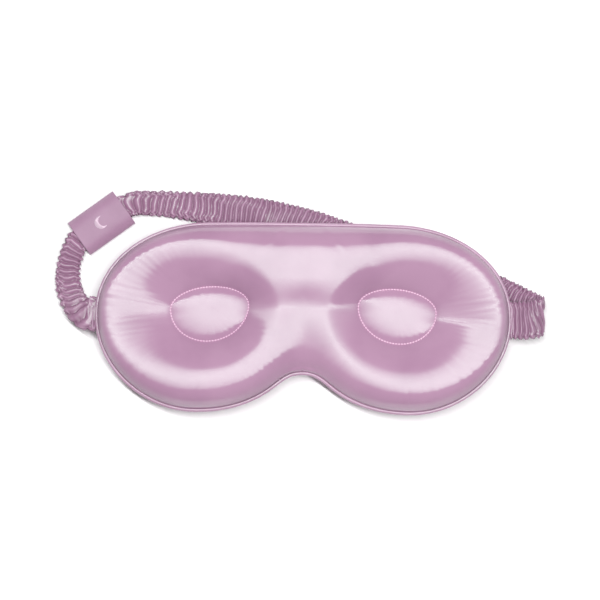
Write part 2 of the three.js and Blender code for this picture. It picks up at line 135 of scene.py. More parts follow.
# The strap's centre line: x, y, z and gathered width, from the left seam round to the right one.
STRAP_STOPS = np.array([
    (-106.4, 0.0, 11.2, 19.0),
    (-112.6, 0.5, 10.0, 17.0),
    (-117.6, 5.0, 6.6, 14.5),
    (-121.2, 12.8, 3.4, 14.0),
    (-122.2, 22.0, 2.7, 13.0),
    (-120.6, 31.0, 3.0, 12.5),
    (-116.2, 39.8, 3.3, 12.5),
    (-105.4, 47.8, 3.3, 12.5),
    (-94.6, 55.8, 3.3, 12.5),
    (-87.0, 58.3, 3.3, 13.0),
    (-78.0, 58.4, 2.4, 13.5),
    (-62.0, 57.4, 2.1, 15.0),
    (-35.0, 54.2, 2.1, 19.0),
    (-5.0, 48.6, 2.1, 20.0),
    (40.0, 34.8, 2.1, 20.0),
    (80.0, 21.6, 2.1, 20.0),
    (100.0, 13.6, 2.1, 20.0),
    (112.0, 8.0, 2.4, 20.0),
    (118.6, 5.0, 3.0, 20.0),
    (122.8, 2.8, 6.6, 20.0),
    (118.6, 0.6, 10.6, 20.0),
    (106.4, 0.0, 11.2, 20.0),
])
LABEL_STOP = 7
UNDER_MASK_STOP = 12

# Gathering of the casing: distance along the strap, the spacing of its folds there and their slant.
GATHERS = np.array([
    (0.0, 4.8, 0.9),
    (20.0, 3.8, 0.6),
    (32.0, 2.9, 0.1),
    (62.0, 3.0, 0.0),
    (80.0, 4.0, 0.0),
    (115.0, 3.5, 0.1),
    (145.0, 2.6, 0.45),
    (280.0, 2.6, 0.3),
    (330.0, 2.5, 0.0),
])
GATHER_DEPTH = 1.7
STRAP_ROWS = 1700
STRAP_SIDES = 48
STRAP_ROUNDING = dict(side=0.6, face=0.7)
FOLD = dict(sharpness=1.5, middle=0.62, wander=0.55, core=0.5, core_side=0.7, crumple=0.05)
SCALLOP = dict(power=4, depth=1.3, frill=0.35)
PRESSED_ENDS = dict(share=0.45, reach=7.0)
PRESSED_LABEL = dict(share=0.66, start=17.0, reach=6.0)
FLOOR_GAP = 0.1

MOON = dict(radius=3.4, bite=2.8, shift=1.7, thick=0.07)

# The scale at which a wave texture has one band, here one thread, in each unit of length.
ONE_BAND_SCALE = 0.31

# The mask's own middle sits beside the middle of the whole footprint.
PIPING_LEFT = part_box("piping_cover_left")
PIPING_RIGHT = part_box("piping_cover_right")
SHIFT_X = (PIPING_LEFT[0][0] + PIPING_RIGHT[1][0]) / 2.0 / MM
SHIFT_Y = PIPING_LEFT[1][1] / MM - BROW_Y


# ---- Small helpers ------------------------------------------------------------------------------


def unit(vectors):
    return vectors / np.maximum(np.linalg.norm(vectors, axis=-1, keepdims=True), TINY)


def smooth(t):
    t = np.clip(t, 0.0, 1.0)
    return t * t * (3.0 - 2.0 * t)


def ripples(coordinates, wavelength, seed):
    """Soft random waves between about -1 and 1, the same on every run."""
    rng = np.random.default_rng(RNG_SEED + seed)
    dimensions = coordinates.shape[-1]
    directions = unit(rng.normal(size=(14, dimensions)))
    lengths = wavelength * rng.uniform(0.7, 1.6, size=14)
    phases = rng.uniform(0.0, 2.0 * math.pi, size=14)
    waves = np.sin(coordinates @ (directions * (2.0 * math.pi / lengths)[:, None]).T + phases)
    return waves.sum(axis=-1) / 5.0


def distance_to_line(points, line):
    """Shortest distance from each 2-D point to a polyline."""
    starts, steps = line[:-1], np.diff(line, axis=0)
    lengths = np.maximum((steps ** 2).sum(axis=1), 1e-9)
    nearest = np.full(len(points), np.inf)
    for start, step, length in zip(starts, steps, lengths):
        along = np.clip(((points - start) @ step) / length, 0.0, 1.0)
        gap = points - start - along[:, None] * step
        nearest = np.minimum(nearest, (gap ** 2).sum(axis=1))
    return np.sqrt(nearest)


def bezier(corners, count):
    t = np.linspace(0.0, 1.0, count, endpoint=False)[:, None]
    a, b, c, d = (np.array(corner, dtype=float) for corner in corners)
    return (1 - t) ** 3 * a + 3 * (1 - t) ** 2 * t * b + 3 * (1 - t) * t ** 2 * c + t ** 3 * d


def resampled(line, spacing):
    """The same line with evenly spaced points."""
    lengths = np.concatenate([[0.0], np.cumsum(np.linalg.norm(np.diff(line, axis=0), axis=1))])
    count = max(2, round(lengths[-1] / spacing) + 1)
    at = np.linspace(0.0, lengths[-1], count)
    return np.stack([np.interp(at, lengths, line[:, i]) for i in range(line.shape[1])], axis=1)


def spline(stops, count):
    """A smooth curve through the stops (centripetal Catmull-Rom), evenly resampled."""
    padded = np.vstack([2 * stops[0] - stops[1], stops, 2 * stops[-1] - stops[-2]])
    knots = np.concatenate([[0.0], np.cumsum(np.linalg.norm(np.diff(padded, axis=0), axis=1) ** 0.5)])
    pieces = []
    for i in range(1, len(padded) - 2):
        t = np.linspace(knots[i], knots[i + 1], 40, endpoint=False)[:, None]
        k0, k1, k2, k3 = knots[i - 1:i + 3]
        p0, p1, p2, p3 = padded[i - 1:i + 3]
        a1 = (k1 - t) / (k1 - k0) * p0 + (t - k0) / (k1 - k0) * p1
        a2 = (k2 - t) / (k2 - k1) * p1 + (t - k1) / (k2 - k1) * p2
        a3 = (k3 - t) / (k3 - k2) * p2 + (t - k2) / (k3 - k2) * p3
        b1 = (k2 - t) / (k2 - k0) * a1 + (t - k0) / (k2 - k0) * a2
        b2 = (k3 - t) / (k3 - k1) * a2 + (t - k1) / (k3 - k1) * a3
        pieces.append((k2 - t) / (k2 - k1) * b1 + (t - k1) / (k2 - k1) * b2)
    fine = np.vstack(pieces + [stops[-1:]])
    lengths = np.concatenate([[0.0], np.cumsum(np.linalg.norm(np.diff(fine[:, :3], axis=0), axis=1))])
    at = np.linspace(0.0, lengths[-1], count)
    return np.stack([np.interp(at, lengths, fine[:, i]) for i in range(fine.shape[1])], axis=1), at


def new_object(name, points, faces, finish, grain=None):
    """A smooth-shaded mesh from points in mask millimetres. Grain is its thread coordinates, as UVs."""
    placed = (np.asarray(points) + (SHIFT_X, SHIFT_Y, 0.0)) * MM
    mesh = bpy.data.meshes.new(name)
    mesh.from_pydata(placed.tolist(), [], faces)
    mesh.shade_smooth()
    grain = placed[:, :2] if grain is None else np.asarray(grain) * MM
    layer = mesh.uv_layers.new(name="grain")
    corners = np.empty(len(mesh.loops), dtype=np.int32)
    mesh.loops.foreach_get("vertex_index", corners)
    layer.data.foreach_set("uv", grain[corners].astype(np.float32).ravel())
    mesh.materials.append(finish)
    obj = bpy.data.objects.new(name, mesh)
    bpy.context.collection.objects.link(obj)
    return obj


def grid_faces(rows, columns, closed_columns=True, closed_rows=False, first=0):
    """Quads between rows of points, each row a run of columns."""
    faces = []
    for row in range(rows if closed_rows else rows - 1):
        below, above = first + row * columns, first + (row + 1) % rows * columns
        for i in range(columns if closed_columns else columns - 1):
            j = (i + 1) % columns
            faces.append((below + i, below + j, above + j, above + i))
    return faces


# ---- Outline and relief of the mask -------------------------------------------------------------


def half_edge():
    """Right half of the edge, from the middle of the brow to the middle of the nose notch."""
    return np.vstack([
        bezier([(0, BROW_Y), (20, BROW_Y), (30, BROW_Y), (50, BROW_Y - 0.5)], 24),
        bezier([(50, BROW_Y - 0.5), (80, BROW_Y - 1.5), (HALF_WIDTH, 29), (HALF_WIDTH, 0)], 30),
        bezier([(HALF_WIDTH, 0), (HALF_WIDTH, -27), (83, CHEEK_Y), (55, CHEEK_Y)], 30),
        bezier([(55, CHEEK_Y), (35, CHEEK_Y), (22, -43), (14, -36.5)], 24),
        bezier([(14, -36.5), (9, -32.5), (6, NOTCH_Y), (0, NOTCH_Y)], 16),
        [(0.0, NOTCH_Y)],
    ])


def inset(line, distance):
    """The half edge moved inwards. Its ends stay on the middle line."""
    mirrored = line * (-1, 1)
    extended = np.vstack([mirrored[1], line, mirrored[-2]])
    along = unit(extended[2:] - extended[:-2])
    return line + np.stack([along[:, 1], -along[:, 0]], axis=1) * distance


HALF_EDGE = half_edge()
EDGE = np.vstack([HALF_EDGE, (HALF_EDGE * (-1, 1))[::-1][1:]])


def oval_line(side, scale=1.0, count=96):
    angle = np.linspace(0.0, 2.0 * math.pi, count + 1)
    x = OVAL["half_width"] * np.cos(angle) * scale
    reach = np.where(np.sin(angle) > 0, OVAL["upper"], OVAL["lower"]) * scale
    y = reach * np.sin(angle) - OVAL["tilt"] * x
    return np.stack([side * (OVAL["x"] + x), OVAL["y"] + y], axis=1)


def oval_reach(points):
    """1 on the quilted oval, less inside it."""
    across = np.abs(points[:, 0]) - OVAL["x"]
    up = points[:, 1] - OVAL["y"] + OVAL["tilt"] * across
    return np.hypot(across / OVAL["half_width"], up / np.where(up > 0, OVAL["upper"], OVAL["lower"]))


def oval_distance(points):
    """Distance to the stitching round the nearer oval."""
    return distance_to_line(np.column_stack([np.abs(points[:, 0]), points[:, 1]]), oval_line(1))


def crest_line():
    angle = np.linspace(0.0, 2.0 * math.pi, 97)
    x = CREST["x"] + CREST["half_width"] * np.cos(angle)
    y = CREST["y"] + CREST["half_height"] * np.sin(angle)
    return np.stack([x, y], axis=1)


def inside_crest(points):
    across = (np.abs(points[:, 0]) - CREST["x"]) / CREST["half_width"]
    up = (points[:, 1] - CREST["y"]) / CREST["half_height"]
    return np.hypot(across, up) < 1.0


def crest_distance(points):
    """Distance to the ring crests and the brow bar that joins them, rounded where they meet."""
    reach, height = CREST["bar_half_width"], CREST["bar_y"]
    right = distance_to_line(points, crest_line())
    left = distance_to_line(points * (-1, 1), crest_line())
    bar = distance_to_line(points, np.array([(-reach, height), (reach, height)]))
    near = np.stack([right, left, bar]) + 0.01
    return ((near ** -CREST_CORNER).sum(axis=0)) ** (-1.0 / CREST_CORNER) - 0.01


def relief(points, rim, crest, oval, pillow):
    """Height of a padded panel over the seam, from its rim to the crests of its rings and its ovals."""
    to_edge = distance_to_line(points, EDGE) - PANEL_INSET
    to_crest = crest_distance(points)
    to_oval = oval_distance(points)
    reach = oval_reach(points)

    outer = np.clip(to_crest / np.maximum(to_crest + np.maximum(to_edge, 0.0), 1e-6), 0.0, 1.0)
    outer_height = rim + (crest - rim) * (1.0 - outer ** OUTER_RUN) ** OUTER_RISE

    short = np.clip(to_crest / np.maximum(to_crest + to_oval, 1e-6), 0.0, 1.0)
    across = np.abs(points[:, 0]) - OVAL["x"]
    beside = across ** 2 / np.maximum(across ** 2 + (points[:, 1] - OVAL["y"]) ** 2, 1e-6)
    inner_run = INNER_RUN["above"] + (INNER_RUN["beside"] - INNER_RUN["above"]) * beside
    inner_height = crest + (oval - crest) * short ** inner_run

    inside = np.clip(1.0 - reach, 0.0, 1.0)
    pillow_height = oval + pillow * (1.0 - (1.0 - inside) ** PILLOW_FULLNESS)

    height = np.where(inside_crest(points), inner_height, outer_height)
    height = np.where(reach < 1.0, pillow_height, height)
    pinch = STITCH_PINCH * (crest - oval) * np.exp(-(to_oval / STITCH_PINCH_REACH) ** 2)
    return height - pinch, to_edge, to_oval


def bridge_dip(points):
    """The nose bridge: a hollow below the brow bar, then a fall to the notch."""
    x, y = np.abs(points[:, 0]), points[:, 1]
    hollow = BRIDGE["hollow"] * np.exp(-(x / BRIDGE["width"]) ** 2)
    hollow = hollow * smooth((BRIDGE["top"] - y) / BRIDGE["run"])
    width = NOSE["width"] + NOSE["spread"] * np.maximum(0.0, -y)
    fall = NOSE["fall"] * np.exp(-(x / width) ** 2) * smooth((NOSE["top"] - y) / NOSE["run"])
    return hollow + fall


def corner_creases(points):
    """The shallow creases that the quilting pulls out of the two pointed ends of each oval."""
    across = np.abs(points[:, 0]) - OVAL["x"]
    off_axis = np.abs(points[:, 1] - OVAL["y"] + OVAL["tilt"] * across + CREASE["below"])
    along = np.exp(-((np.abs(across) - CREASE["middle"]) / CREASE["reach"]) ** 2)
    return CREASE["depth"] * along * np.exp(-np.hypot(off_axis, CREASE["round"]) / CREASE["width"])


def puckers(points, to_edge, to_oval):
    """Fine gathers that run in from the seams, out from the quilting and in from the strap's ends."""
    bearing = np.arctan2(points[:, 1], np.abs(points[:, 0]) - OVAL["x"])
    around = np.stack([np.cos(bearing), np.sin(bearing)], axis=1)
    to_edge = np.maximum(to_edge, 0.0)
    start = smooth(to_edge / SEAM_START)

    by_oval = ripples(around * OVAL_PUCKERS["radius"], OVAL_PUCKERS["wave"], WAVES["by_oval"])
    by_oval = by_oval * np.exp(-to_oval / OVAL_PUCKERS["reach"]) * OVAL_PUCKERS["height"]
    by_edge = ripples(around * EDGE_PUCKERS["radius"], EDGE_PUCKERS["wave"], WAVES["by_edge"])
    by_edge = by_edge * np.exp(-to_edge / EDGE_PUCKERS["reach"]) * start * EDGE_PUCKERS["height"]

    fanned = points[:, 1] + to_edge * STRAP_PUCKERS["fan"] * np.sign(points[:, 1])
    across = np.column_stack([np.sign(points[:, 0]) * STRAP_PUCKERS["side"], fanned])
    by_strap = ripples(across, STRAP_PUCKERS["wave"], WAVES["by_strap"])
    by_strap = by_strap * np.exp(-to_edge / STRAP_PUCKERS["reach"]) * start
    by_strap *= np.exp(-(points[:, 1] / STRAP_PUCKERS["half_width"]) ** 4) * STRAP_PUCKERS["height"]

    slack = ripples(points, SLACK["wave"], WAVES["slack"]) * SLACK["height"]
    slack = slack + ripples(points, SLACK["small_wave"], WAVES["ripple"]) * SLACK["small_height"]
    calm = smooth(to_edge / SLACK["calm_edge"])
    return by_oval + by_edge + by_strap + slack * calm


def front_height(points):
    height, to_edge, to_oval = relief(points, **FRONT)
    settled = smooth(np.maximum(to_edge, 0.0) / BRIDGE["settle"])
    height = height - bridge_dip(points) * settled - corner_creases(points)
    return SEAM_Z + height + puckers(points, to_edge, to_oval)


def strap_channel(points):
    """How high the back pads are pressed in over the strap that runs under them."""
    run = np.array([(-35.0, 54.2), (-5.0, 48.6), (40.0, 34.8), (80.0, 21.6), (112.0, 8.7)])
    beside = np.maximum(0.0, distance_to_line(points, run) - STRAP_WIDTH / 2 - CHANNEL["side"])
    return STRAP_THICK + CHANNEL["top"] - CHANNEL["slope"] * beside - CHANNEL["curve"] * beside ** 2


def back_height(points):
    height, to_edge, to_oval = relief(points, **BACK)
    surface = SEAM_Z + height - puckers(points * (-1, 1), to_edge, to_oval) * BACK_PUCKERS
    lowest = np.maximum(strap_channel(points), CHANNEL["lowest"])
    sharp = CHANNEL["sharpness"]
    return np.logaddexp(surface * sharp, lowest * sharp) / sharp


def panel_loops(side):
    """Nested loops from the middle of one eye out to that half's boundary."""
    edge = inset(HALF_EDGE, PANEL_INSET)
    middle = np.array([(0.0, edge[-1, 1]), (0.0, edge[0, 1])])
    boundary = np.vstack([resampled(line, PANEL_STEP)[:-1] for line in (edge, middle)])
    bearing = np.arctan2(boundary[:, 1] - OVAL["y"], boundary[:, 0] - OVAL["x"])
    reach = np.where(np.sin(bearing) > 0, OVAL["upper"], OVAL["lower"])
    stretch = 1.0 / np.hypot(np.cos(bearing) / OVAL["half_width"], np.sin(bearing) / reach)
    oval = np.stack([np.cos(bearing), np.sin(bearing)], axis=1) * stretch[:, None]
    oval[:, 1] -= OVAL["tilt"] * oval[:, 0]
    centre = np.array([OVAL["x"], OVAL["y"]])
    inner = [centre + oval * t for t in np.linspace(0.08, 0.9, PANEL_LOOPS["pillow"])]
    inner += [centre + oval * t for t in (0.95, 0.98)]
    even = np.linspace(0.0, 1.0, PANEL_LOOPS["ring"])
    steps = (1.0 - np.cos(np.linspace(0.0, math.pi, PANEL_LOOPS["ring"]))) / 2.0
    steps = (1.0 - PANEL_LOOPS["even"]) * steps + PANEL_LOOPS["even"] * even
    outer = [(centre + oval) * (1.0 - t) + boundary * t for t in steps]
    loops = np.stack(inner + outer)
    return loops * (side, 1)


def panel_half(side, height, outward):
    """Points and faces of one half of a cloth panel, facing outward."""
    loops = panel_loops(side)
    rows, columns, _ = loops.shape
    flat = loops.reshape(-1, 2)
    centre = flat[:columns].mean(axis=0, keepdims=True)
    points = np.vstack([np.column_stack([spots, height(spots)]) for spots in (flat, centre)])
    middle = rows * columns
    faces = [face[::-1] for face in grid_faces(rows, columns)]
    faces += [(i, (i + 1) % columns, middle) for i in range(columns)]
    if side * outward < 0:
        faces = [face[::-1] for face in faces]
    return points, faces


def welded(obj, distance):
    """Join points that lie on each other."""
    mesh = bmesh.new()
    mesh.from_mesh(obj.data)
    bmesh.ops.remove_doubles(mesh, verts=mesh.verts, dist=distance)
    bmesh.ops.recalc_face_normals(mesh, faces=mesh.faces)
    mesh.to_mesh(obj.data)
    mesh.free()
    return obj


def filled_out(obj):
    """Cloth simulation: the silk swells over its wadding and puckers where it is sewn down."""
    mesh = obj.data
    start = np.empty(len(mesh.vertices) * 3)
    mesh.vertices.foreach_get("co", start)
    start = start.reshape(-1, 3)
    weigh_seams(obj, start[:, :2] / MM - (SHIFT_X, SHIFT_Y))
    end = simulated(obj)

    move = end - start
    size = np.linalg.norm(move, axis=1, keepdims=True)
    move *= np.minimum(1.0, CLOTH_MOVE * MM / np.maximum(size, TINY))
    settled = start + move
    settled[:, 2] = np.maximum(settled[:, 2], np.minimum(start[:, 2], CLOTH * MM))
    mesh.vertices.foreach_set("co", settled.ravel())
    mesh.update()
    return obj


def weigh_seams(obj, flat):
    """Vertex groups: how firmly each point is sewn down, and how much spare cloth is gathered there."""
    to_edge = distance_to_line(flat, EDGE) - PANEL_INSET
    to_oval = oval_distance(flat)
    at_edge = np.exp(-(to_edge / SEWN_REACH["edge"]) ** 2)
    at_oval = np.exp(-(to_oval / SEWN_REACH["oval"]) ** 2)
    by_edge = np.exp(-(to_edge / GATHER_REACH["edge"]) ** 2)
    by_oval = GATHER_REACH["oval_share"] * np.exp(-(to_oval / GATHER_REACH["oval"]) ** 2)
    groups = {
        "sewn": np.maximum(np.maximum(at_edge, at_oval), CLOTH_HOLD),
        "gathered": np.maximum(by_edge, by_oval),
    }
    for name, weights in groups.items():
        group = obj.vertex_groups.new(name=name)
        for i, weight in enumerate(weights):
            group.add([i], weight, "REPLACE")


def simulated(obj):
    """The points where the cloth simulation leaves the panel. The panel itself isn't changed."""
    cloth = obj.modifiers.new("cloth", "CLOTH")
    cloth.settings.vertex_group_mass = "sewn"
    cloth.settings.mass = CLOTH_MASS
    cloth.settings.use_pressure = True
    cloth.settings.uniform_pressure_force = CLOTH_PRESSURE
    cloth.settings.vertex_group_shrink = "gathered"
    cloth.settings.shrink_min = 0.0
    cloth.settings.shrink_max = CLOTH_GATHER
    cloth.settings.effector_weights.gravity = 0.0
    cloth.collision_settings.use_collision = False
    cloth.point_cache.frame_start = 1
    cloth.point_cache.frame_end = CLOTH_FRAMES
    for step in range(1, CLOTH_FRAMES + 1):
        bpy.context.scene.frame_set(step)
    end = np.empty(len(obj.data.vertices) * 3)
    moved = obj.evaluated_get(bpy.context.evaluated_depsgraph_get())
    moved.data.vertices.foreach_get("co", end)
    obj.modifiers.clear()
    obj.vertex_groups.clear()
    bpy.context.scene.frame_set(1)
    return end.reshape(-1, 3)


def thickened(obj, thickness):
    """Turn a single surface into a layer of cloth, thickened away from its outer face."""
    solid = obj.modifiers.new("thickness", "SOLIDIFY")
    solid.thickness = thickness
    solid.offset = -1.0
    evaluated = obj.evaluated_get(bpy.context.evaluated_depsgraph_get())
    mesh = bpy.data.meshes.new_from_object(evaluated)
    obj.modifiers.clear()
    obj.data = mesh
    return obj


def panel(name, height, outward, finish):
    left_points, left_faces = panel_half(-1, height, outward)
    right_points, right_faces = panel_half(1, height, outward)
    shift = len(left_points)
    faces = left_faces + [tuple(i + shift for i in face) for face in right_faces]
    obj = welded(new_object(name, np.vstack([left_points, right_points]), faces, finish), 1e-6)
    if obj.data.polygons[0].normal.z * outward < 0:
        obj.data.flip_normals()
    return thickened(filled_out(obj), CLOTH * MM)


# ---- Tubes --------------------------------------------------------------------------------------


def closed_tube(line, radii, sides):
    """Points and faces of a ring-shaped tube round a closed line at seam height."""
    along = unit(np.roll(line, -1, axis=0) - np.roll(line, 1, axis=0))
    outward = np.stack([along[:, 1], -along[:, 0]], axis=1)
    angle = np.linspace(0.0, 2.0 * math.pi, sides, endpoint=False)
    flat = outward[:, None, :] * (np.cos(angle)[None, :, None] * radii[:, :, None])
    rise = np.sin(angle)[None, :] * radii
    points = np.concatenate([line[:, None, :2] + flat, (SEAM_Z + rise)[:, :, None]], axis=2)
    return points.reshape(-1, 3), grid_faces(len(line), sides, closed_rows=True)


def piping(finish):
    """Cloth piping round the whole edge, gathered a little on its cord."""
    half = inset(HALF_EDGE, PIPING_RADIUS)
    whole = np.vstack([half, (half * (-1, 1))[::-1][1:-1]])
    line = resampled(np.vstack([whole, whole[:1]]), PIPING["step"])[:-1]
    sides = PIPING["sides"]
    length = np.arange(len(line)) * PIPING["step"]
    along = np.stack([length, length * 0], axis=1)
    bunch = ripples(along, PIPING["bunch_length"], WAVES["piping"]) * PIPING["bunch"]
    angle = np.linspace(0.0, 2.0 * math.pi, sides, endpoint=False)
    turns = 2 * math.pi * length[:, None] / PIPING["twist_pitch"]
    twist = np.sin(turns + angle[None, :]) * PIPING["twist"]
    radii = PIPING_RADIUS - PIPING["slack"] + bunch[:, None] + twist
    points, faces = closed_tube(line, radii, sides)
    grain = np.column_stack([np.repeat(length, sides), np.tile(angle * PIPING_RADIUS, len(line))])
    return new_object("edge_piping", points, faces, finish, grain[:, ::-1])


def eye_stitches(side, finish):
    """A row of short stitches round one quilted oval, each a rounded bar pulled into the cloth."""
    line = resampled(oval_line(side), STITCH_PITCH)[:-1]
    middles = (line + np.roll(line, -1, axis=0)) / 2.0
    along = unit(np.roll(line, -1, axis=0) - line)
    height = front_height(middles)
    points, faces = [], []
    rings, sides = STITCH["rings"], STITCH["sides"]
    angle = np.linspace(0.0, 2.0 * math.pi, sides, endpoint=False)
    for middle, direction, z in zip(middles, along, height):
        across = np.array([-direction[1], direction[0]])
        first = len(points)
        for t in np.linspace(-1.0, 1.0, rings):
            girth = math.sqrt(max(0.05, 1.0 - abs(t) ** 3))
            place = middle + direction * t * STITCH_PITCH * STITCH["half_length"]
            lift = z + STITCH["lift"] - STITCH["dive"] * t * t
            for a in angle:
                flat = place + across * math.cos(a) * STITCH_WIDTH / 2.0 * girth
                points.append((flat[0], flat[1], lift + math.sin(a) * STITCH_RISE * girth))
        faces += grid_faces(rings, sides, first=first)
        faces.append(tuple(range(first, first + sides))[::-1])
        faces.append(tuple(range(first + (rings - 1) * sides, first + rings * sides)))
    word = "left" if side < 0 else "right"
    return new_object(f"eye_stitches_{word}", np.array(points), faces, finish)


# ---- Strap --------------------------------------------------------------------------------------


def strap_frames():
    """Even frames down the strap: centre, across, thickness direction, width and length run."""
    curve, run = spline(STRAP_STOPS, STRAP_ROWS)
    centre, width = curve[:, :3], curve[:, 3]
    tangent = unit(np.gradient(centre, axis=0))
    across = np.zeros_like(centre)
    square = np.array([0.0, -1.0, 0.0])
    turned = smooth((centre[:, 0] - SQUARE_FROM) / (SQUARE_TO - SQUARE_FROM))
    last = np.array([0.0, 1.0, 0.0])
    for i, direction in enumerate(tangent):
        level = np.cross((0.0, 0.0, 1.0), direction)
        size = np.linalg.norm(level)
        if size > STEEPEST_LEVEL:
            last = level / size * (1.0 if level @ last >= 0 else -1.0)
        last = last * (1.0 - turned[i]) + square * turned[i]
        last = last - direction * (last @ direction)
        last = last / np.linalg.norm(last)
        across[i] = last
    reach = STRAP_ROWS // TURN_SMOOTHING
    smoothing = np.hanning(2 * reach + 1) / np.hanning(2 * reach + 1).sum()
    padded = np.pad(across, ((reach, reach), (0, 0)), mode="edge")
    across = np.stack([np.convolve(padded[:, k], smoothing, mode="valid") for k in range(3)], axis=1)
    across = unit(across - tangent * (across * tangent).sum(axis=1, keepdims=True))
    return centre, across, np.cross(tangent, across), width, run


FRAMES = strap_frames()


def gather(run, sideways, face):
    """Height of the gathered folds from 0 in the gaps to 1 on the ridges, and how strong they are."""
    fine = np.linspace(0.0, FRAMES[4][-1], 4000)
    spacing = np.interp(fine[1:], GATHERS[:, 0], GATHERS[:, 1])
    count = np.concatenate([[0.0], np.cumsum(np.diff(fine) / spacing)])
    slant = np.interp(run, GATHERS[:, 0], GATHERS[:, 2])
    place = np.stack([run * 0.6, sideways * 7.0, face * 30.0], axis=-1)
    drift = ripples(place, 9.0, WAVES["drift"]) * 0.5 + ripples(place, 4.0, WAVES["fine_drift"]) * 0.16
    turns = np.interp(run, fine, count) + slant * sideways + drift * FOLD["wander"]
    part = 2.0 * (turns - np.floor(turns)) - 1.0
    ridge = 1.0 - np.abs(part) ** FOLD["sharpness"]
    each = np.stack([np.floor(turns) * 7.0, face * 30.0, sideways * 3.0], axis=-1)
    strength = 0.78 + 0.3 * ripples(each, 11.0, WAVES["fold_strength"])
    return ridge, np.clip(strength, 0.3, 1.15)


def flattened(run):
    """Share of its thickness that the strap keeps: less where it is sewn in and inside the label."""
    ends = np.minimum(run - FRAMES[4][0], FRAMES[4][-1] - run)
    from_label = np.abs(run - length_at(STRAP_STOPS[LABEL_STOP])) - PRESSED_LABEL["start"]
    sewn, held = PRESSED_ENDS["share"], PRESSED_LABEL["share"]
    at_ends = sewn + (1.0 - sewn) * smooth(ends / PRESSED_ENDS["reach"])
    at_label = held + (1.0 - held) * smooth(from_label / PRESSED_LABEL["reach"])
    return at_ends * at_label


def strap_piece(name, start, end, finish):
    """A length of the gathered silk casing between two distances along the strap."""
    chosen = (FRAMES[4] >= start) & (FRAMES[4] <= end)
    centre, across, thick, width, run = (part[chosen] for part in FRAMES)
    sides = STRAP_SIDES
    angle = np.linspace(0.0, 2.0 * math.pi, sides, endpoint=False)
    sideways = np.sign(np.cos(angle)) * np.abs(np.cos(angle)) ** STRAP_ROUNDING["side"]
    upwards = np.sign(np.sin(angle)) * np.abs(np.sin(angle)) ** STRAP_ROUNDING["face"]
    run_grid = np.repeat(run[:, None], sides, axis=1)
    side_grid = np.repeat(sideways[None, :], len(run), axis=0)
    face_grid = np.repeat(np.sin(angle)[None, :], len(run), axis=0)
    ridge, strength = gather(run_grid, side_grid, face_grid)
    swell = (ridge - FOLD["middle"]) * strength * GATHER_DEPTH
    surface = np.stack([run_grid, side_grid * 8.0, face_grid * 30.0], axis=-1)
    crumple = ripples(surface, 1.6, WAVES["crumple"]) * FOLD["crumple"]
    edge = np.abs(sideways)[None, :] ** SCALLOP["power"]
    rim = np.stack([run_grid, face_grid * 20.0], axis=-1)
    frill = ripples(rim, 5.0, WAVES["frill"]) * SCALLOP["frill"]
    half_width = width[:, None] / 2.0 - FOLD["core_side"] + (swell * SCALLOP["depth"] + frill) * edge
    pressed = flattened(run)
    core = ((STRAP_THICK / 2.0 - FOLD["core"]) * pressed)[:, None]
    half_thick = core + (swell + crumple) * pressed[:, None]
    offset = (across[:, None, :] * (sideways[None, :] * half_width)[:, :, None]
              + thick[:, None, :] * (upwards[None, :] * half_thick)[:, :, None])
    points = (centre[:, None, :] + offset).reshape(-1, 3)
    points[:, 2] = np.maximum(points[:, 2], 0.02 * points[:, 2] + FLOOR_GAP)
    rows = len(centre)
    faces = grid_faces(rows, sides)
    faces.append(tuple(range(sides))[::-1])
    faces.append(tuple(range((rows - 1) * sides, rows * sides)))
    girth = np.tile(np.arange(sides) / sides * 2.0 * STRAP_WIDTH, rows)
    obj = new_object(name, points, faces, finish, np.column_stack([girth, run_grid.ravel()]))
    # Depth of each fold, 0 on the ridges and up to 1 in the gaps; the strap's satin uses it to paint
    # shade into the gaps.
    depth = obj.data.attributes.new("fold_depth", "FLOAT", "POINT")
    values = np.clip(1.0 - ridge * strength, 0.0, 1.0)
    depth.data.foreach_set("value", values.astype(np.float32).ravel())
    return welded(obj, 1e-7)


# ---- Label --------------------------------------------------------------------------------------


def label_frame():
    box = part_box("label_sleeve")
    middle = [(box[0][i] + box[1][i]) / 2.0 / MM for i in range(2)]
    return np.array([middle[0] - SHIFT_X, middle[1] - SHIFT_Y])


def on_label(points):
    """Label millimetres (along, across, up) to mask millimetres."""
    middle = label_frame()
    cosine, sine = math.cos(LABEL_HEADING), math.sin(LABEL_HEADING)
    along, across, up = points[:, 0], points[:, 1], points[:, 2]
    return np.column_stack([
        middle[0] + along * cosine - across * sine,
        middle[1] + along * sine + across * cosine,
        up,
    ])


def label_top(along, across):
    """Height of the label's upper face: a low arch that sags a little at its open ends."""
    end = np.abs(along) / (LABEL_LENGTH / 2.0)
    side = np.abs(across) / (LABEL_WIDTH / 2.0)
    arch = LABEL_THICK - 2.6 * np.clip(side, 0, 1) ** 3.4
    flare = 0.35 * end ** 4 * (1.0 - side ** 2)
    return arch + flare + 0.12 * np.sin(along * 0.21 + across * 0.13)


